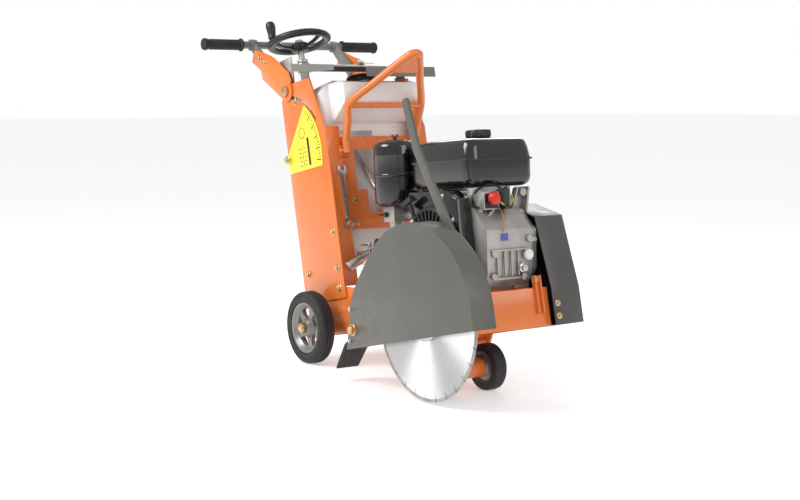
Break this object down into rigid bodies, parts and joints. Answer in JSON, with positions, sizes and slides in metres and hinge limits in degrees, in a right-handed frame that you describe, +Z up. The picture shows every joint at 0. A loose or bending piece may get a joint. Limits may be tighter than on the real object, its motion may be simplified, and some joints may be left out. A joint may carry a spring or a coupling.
{
  "type": "walk-behind concrete saw",
  "caption": "Walk-behind petrol concrete saw with lifting blade guard, water tank column, folding handle and spindle depth control.",
  "frame": {"origin": "on the ground, under the middle of the bounding box", "axes": "+X is the direction of travel, towards the blade; +Y is the machine's left; +Z is up"},
  "size_m": [1.2792, 0.6, 0.9532],
  "materials": {
    "orange_paint": "gloss",
    "console_grey": "satin",
    "guard_grey": "satin",
    "zinc": "satin",
    "bright_steel": "satin",
    "dark_steel": "satin",
    "cast_aluminium": "rough",
    "black_plastic": "satin",
    "black_paint": "gloss",
    "rubber": "matte",
    "tyre_rubber": "matte",
    "tank_plastic": "satin",
    "white_plastic": "gloss",
    "yellow": "satin",
    "red_plastic": "gloss"
  },
  "bodies": {
    "frame": {"air_cleaner": "black_plastic", "bearing_left": "dark_steel", "bearing_right": "dark_steel", "belt_guard": "console_grey", "carburetor": "cast_aluminium", "chassis": "orange_paint", "column_cross_plate": "orange_paint", "column_plate_left": "orange_paint", "column_plate_right": "orange_paint", "console": "console_grey", "crankcase": "cast_aluminium", "drive_belt": "rubber", "fan_shroud": "black_plastic", "fuel_tank": "black_paint", "handle_pivot_bolt": "zinc", "lift_frame": "orange_paint", "muffler": "dark_steel", "rear_axle": "zinc", "recoil_cover": "black_plastic", "spanner": "bright_steel", "spindle_bracket": "zinc", "water_hose": "rubber", "water_tank": "tank_plastic", "water_valve": "zinc"},
    "handwheel": {"handwheel": "black_plastic", "spindle": "zinc"},
    "crank_knob": {"crank_knob": "black_plastic"},
    "spindle_nut": {"spindle_nut": "zinc"},
    "push_rod": {"push_rod": "zinc"},
    "front_arm": {"front_arm": "orange_paint"},
    "front_wheel_right": {"front_wheel_right": "tyre_rubber"},
    "front_wheel_left": {"front_wheel_left": "tyre_rubber"},
    "rear_wheel_right": {"rear_tyre_right": "tyre_rubber", "rear_hub_right": "cast_aluminium"},
    "rear_wheel_left": {"rear_tyre_left": "tyre_rubber", "rear_hub_left": "cast_aluminium"},
    "depth_scale": {"depth_scale": "yellow"},
    "handle": {"handle_bracket_right": "orange_paint", "handle_bracket_left": "orange_paint", "handle_upright_right": "console_grey", "handle_upright_left": "console_grey", "handlebar": "console_grey", "grip_right": "rubber", "grip_left": "rubber"},
    "guard": {"blade_guard": "guard_grey", "splash_flap": "rubber"},
    "blade_set": {"blade": "bright_steel", "outer_flange": "bright_steel", "arbor_nut": "zinc", "blade_shaft": "bright_steel", "driven_pulley": "dark_steel"},
    "engine_pulley_set": {"engine_pulley": "dark_steel"},
    "tank_cap_set": {"tank_cap": "black_plastic"},
    "valve_lever_set": {"valve_lever": "black_plastic"},
    "throttle_lever_set": {"throttle_lever": "zinc"},
    "choke_lever_set": {"choke_lever": "black_plastic"},
    "fuel_cap_set": {"fuel_cap": "black_plastic"},
    "engine_switch_set": {"engine_switch": "red_plastic"},
    "oil_dipstick_set": {"oil_dipstick": "white_plastic"},
    "recoil_grip_set": {"recoil_grip": "black_plastic"}
  },
  "joints": [
    {"name": "handwheel_turn", "type": "hinge", "parent": "frame", "child": "handwheel", "pos_m": [-0.4975, -0.05, 0.89375], "axis": [-0.3223, 0, 0.9466], "range_deg": [0, 2610]},
    {"name": "crank_knob_spin", "type": "hinge", "parent": "handwheel", "child": "crank_knob", "pos_m": [-0.51754, -0.13155, 0.92602], "axis": [-0.3223, 0, 0.9466], "continuous": true},
    {"name": "spindle_nut_lift", "type": "slide", "parent": "frame", "child": "spindle_nut", "axis": [-0.3223, 0, 0.9466], "range_m": [0, 0.0204]},
    {"name": "push_rod_swing", "type": "hinge", "parent": "spindle_nut", "child": "push_rod", "pos_m": [-0.43627, 0, 0.71389], "axis": [0, 1, 0], "range_deg": [0, 5.68]},
    {"name": "front_arm_swing", "type": "hinge", "parent": "frame", "child": "front_arm", "pos_m": [0.19691, -0.06, 0.08962], "axis": [0, -1, 0], "range_deg": [0, 45]},
    {"name": "depth_scale_turn", "type": "hinge", "parent": "frame", "child": "depth_scale", "pos_m": [-0.39372, -0.143, 0.55431], "axis": [0, 1, 0], "range_deg": [0, 30]},
    {"name": "front_wheel_right_spin", "type": "hinge", "parent": "front_arm", "child": "front_wheel_right", "pos_m": [0.35463, -0.157, 0.05893], "axis": [0, 1, 0], "continuous": true},
    {"name": "front_wheel_left_spin", "type": "hinge", "parent": "front_arm", "child": "front_wheel_left", "pos_m": [0.35463, -0.013, 0.05893], "axis": [0, 1, 0], "continuous": true},
    {"name": "rear_wheel_right_spin", "type": "hinge", "parent": "frame", "child": "rear_wheel_right", "pos_m": [-0.21043, -0.191, 0.09962], "axis": [0, 1, 0], "continuous": true},
    {"name": "rear_wheel_left_spin", "type": "hinge", "parent": "frame", "child": "rear_wheel_left", "pos_m": [-0.21043, 0.251, 0.09962], "axis": [0, 1, 0], "continuous": true},
    {"name": "handle_fold", "type": "hinge", "parent": "frame", "child": "handle", "pos_m": [-0.41135, 0, 0.74925], "axis": [0, -1, 0], "range_deg": [0, 60]},
    {"name": "guard_lift", "type": "hinge", "parent": "frame", "child": "guard", "pos_m": [0.14067, -0.245, 0.1476], "axis": [0, -1, 0], "range_deg": [0, 60]},
    {"name": "blade_spin", "type": "hinge", "parent": "frame", "child": "blade_set", "pos_m": [0.40223, -0.239, 0.206], "axis": [0, 1, 0], "continuous": true},
    {"name": "engine_pulley_spin", "type": "hinge", "parent": "frame", "child": "engine_pulley_set", "pos_m": [0.25868, 0.15, 0.36491], "axis": [0, 1, 0], "continuous": true},
    {"name": "tank_cap_turn", "type": "hinge", "parent": "frame", "child": "tank_cap_set", "pos_m": [-0.23449, -0.006, 0.78328], "axis": [-0.2215, 0, 0.9751], "range_deg": [0, 120]},
    {"name": "valve_lever_turn", "type": "hinge", "parent": "frame", "child": "valve_lever_set", "pos_m": [-0.11086, -0.06, 0.32939], "axis": [-0.2215, 0, 0.9751], "range_deg": [0, 90]},
    {"name": "throttle_turn", "type": "hinge", "parent": "frame", "child": "throttle_lever_set", "pos_m": [-0.26802, 0.014, 0.82253], "axis": [0.0466, 0, 0.9989], "range_deg": [0, 60]},
    {"name": "choke_turn", "type": "hinge", "parent": "frame", "child": "choke_lever_set", "pos_m": [0.00702, -0.086, 0.42206], "axis": [0, -1, 0], "range_deg": [0, 40]},
    {"name": "fuel_cap_turn", "type": "hinge", "parent": "frame", "child": "fuel_cap_set", "pos_m": [0.23758, 0.044, 0.64011], "axis": [-0.0837, 0, 0.9965], "range_deg": [0, 90]},
    {"name": "engine_switch_turn", "type": "hinge", "parent": "frame", "child": "engine_switch_set", "pos_m": [0.384, -0.024, 0.48582], "axis": [0.9965, 0, 0.0837], "range_deg": [0, 60]},
    {"name": "dipstick_turn", "type": "hinge", "parent": "frame", "child": "oil_dipstick_set", "pos_m": [0.41897, 0.064, 0.34425], "axis": [0.9965, 0, 0.0837], "range_deg": [0, 180]},
    {"name": "recoil_pull", "type": "slide", "parent": "frame", "child": "recoil_grip_set", "axis": [-0.5349, -0.751, 0.3872], "range_m": [0, 0.45], "stiffness_N_per_m": 20, "springref_m": -0.1}
  ],
  "couplings": [
    {"joint": "spindle_nut_lift", "follows": "handwheel_turn", "m_per_rad": 0.00044301},
    {"joint": "push_rod_swing", "follows": "handwheel_turn", "ratio": 0.002158},
    {"joint": "front_arm_swing", "follows": "handwheel_turn", "ratio": 0.017241},
    {"joint": "depth_scale_turn", "follows": "handwheel_turn", "ratio": 0.011494},
    {"joint": "engine_pulley_spin", "follows": "blade_spin", "ratio": 1.2059}
  ]
}
